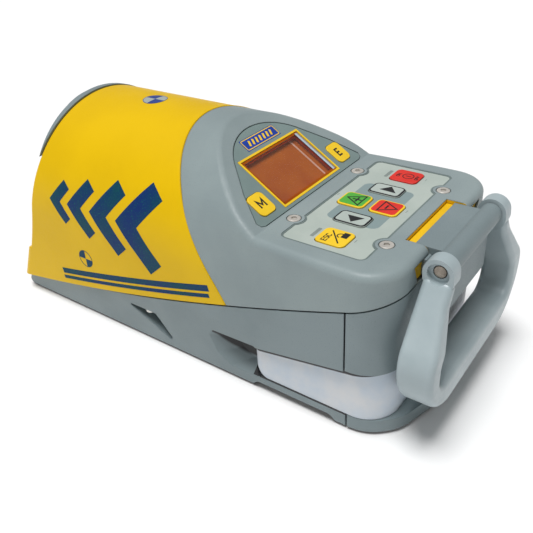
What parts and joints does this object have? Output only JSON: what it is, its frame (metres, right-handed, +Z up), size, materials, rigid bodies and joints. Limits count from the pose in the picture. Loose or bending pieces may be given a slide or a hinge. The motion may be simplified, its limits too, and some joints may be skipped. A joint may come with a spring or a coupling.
{
  "type": "pipe laser",
  "caption": "Compact pipe laser: domed case with a sloping front bezel, key deck with a tilted display, hinged carrying handle, slide-in battery and a laser on a two-axis gimbal.",
  "frame": {"origin": "centre of the leg socket pattern on the plane that the base stands on", "axes": "+Y along the level beam, out of the front; +X to the right of a person behind the case; +Z up"},
  "size_m": [0.124, 0.3033, 0.1302],
  "materials": {
    "yellow_paint": "satin paint on a casting",
    "grey_paint": "satin paint on a casting",
    "grey_plastic": "satin",
    "frame_yellow": "satin paint on a casting",
    "handle_grey": "satin",
    "grip_pale": "satin",
    "steel": "brushed",
    "dark_screw": "blackened",
    "brass": "turned",
    "cell_sleeve": "cells in a sleeve",
    "panel_film": "matt film",
    "gasket": "matt",
    "key_yellow": "satin",
    "key_red": "satin",
    "key_green": "satin",
    "key_pale": "satin",
    "badge_blue": "gloss",
    "screen_brown": "gloss",
    "clear_window": "clear",
    "dark_window": "gloss",
    "board": "solder mask",
    "chip": "moulded",
    "bare_aluminium": "machined",
    "black_anodised": "anodised"
  },
  "bodies": {
    "case": {"yellow_cover": "yellow_paint", "lower_housing": "grey_paint", "rear_cover": "grey_plastic", "end_cap": "grey_plastic", "rear_skid": "grey_plastic", "rear_frame": "frame_yellow", "hinge_block": "grey_paint", "hinge_pin": "steel", "battery_pack": "grip_pale", "battery_cells": "cell_sleeve", "cell_links": "steel", "battery_contacts": "brass", "leg_sockets": "brass", "case_screws": "steel", "deck_screws": "steel", "ring_screws": "dark_screw", "key_panel": "panel_film", "key_gasket": "gasket", "key_board": "board", "key_switches": "steel", "display_overlay": "panel_film", "display_badge": "badge_blue", "display_frame": "key_yellow", "display_window": "clear_window", "display_screen": "screen_brown", "display_board": "board", "display_switches": "steel", "receiver_window": "dark_window", "bezel": "grey_paint", "window_seal": "gasket", "front_window": "clear_window", "clamp_ring": "black_anodised", "gimbal_base": "bare_aluminium", "line_motor": "steel", "standoffs": "brass", "main_board": "board", "board_chips": "chip"},
    "handle": {"handle": "handle_grey"},
    "line_yoke": {"line_yoke": "bare_aluminium", "grade_motor": "steel"},
    "laser": {"laser_tube": "black_anodised", "laser_lens": "clear_window", "lens_ring": "brass"},
    "key_escape": {"key_escape": "key_yellow"},
    "key_power": {"key_power": "key_red"},
    "key_left": {"key_left": "key_pale"},
    "key_right": {"key_right": "key_pale"},
    "key_plus": {"key_plus": "key_green"},
    "key_minus": {"key_minus": "key_red"},
    "key_menu": {"key_menu": "key_yellow"},
    "key_enter": {"key_enter": "key_yellow"}
  },
  "joints": [
    {"name": "handle_swing", "type": "hinge", "parent": "case", "child": "handle", "pos_m": [0, -0.127, 0.0924], "axis": [-1, 0, 0], "range_deg": [0, 180]},
    {"name": "line_swing", "type": "hinge", "parent": "case", "child": "line_yoke", "pos_m": [0, 0.081, 0.02], "axis": [0, 0, 1], "range_deg": [-10, 10]},
    {"name": "grade_tilt", "type": "hinge", "parent": "line_yoke", "child": "laser", "pos_m": [0, 0.081, 0.076], "axis": [1, 0, 0], "range_deg": [-6.84, 21.8]},
    {"name": "key_escape_press", "type": "slide", "parent": "case", "child": "key_escape", "axis": [0, 0, -1], "range_m": [0, 0.0008], "stiffness_N_per_m": 1500},
    {"name": "key_power_press", "type": "slide", "parent": "case", "child": "key_power", "axis": [0, 0, -1], "range_m": [0, 0.0008], "stiffness_N_per_m": 1500},
    {"name": "key_left_press", "type": "slide", "parent": "case", "child": "key_left", "axis": [0, 0, -1], "range_m": [0, 0.0008], "stiffness_N_per_m": 1500},
    {"name": "key_right_press", "type": "slide", "parent": "case", "child": "key_right", "axis": [0, 0, -1], "range_m": [0, 0.0008], "stiffness_N_per_m": 1500},
    {"name": "key_plus_press", "type": "slide", "parent": "case", "child": "key_plus", "axis": [0, 0, -1], "range_m": [0, 0.0008], "stiffness_N_per_m": 1500},
    {"name": "key_minus_press", "type": "slide", "parent": "case", "child": "key_minus", "axis": [0, 0, -1], "range_m": [0, 0.0008], "stiffness_N_per_m": 1500},
    {"name": "key_menu_press", "type": "slide", "parent": "case", "child": "key_menu", "axis": [0, 0.5311, -0.8473], "range_m": [0, 0.0008], "stiffness_N_per_m": 1500},
    {"name": "key_enter_press", "type": "slide", "parent": "case", "child": "key_enter", "axis": [0, 0.5311, -0.8473], "range_m": [0, 0.0008], "stiffness_N_per_m": 1500}
  ]
}
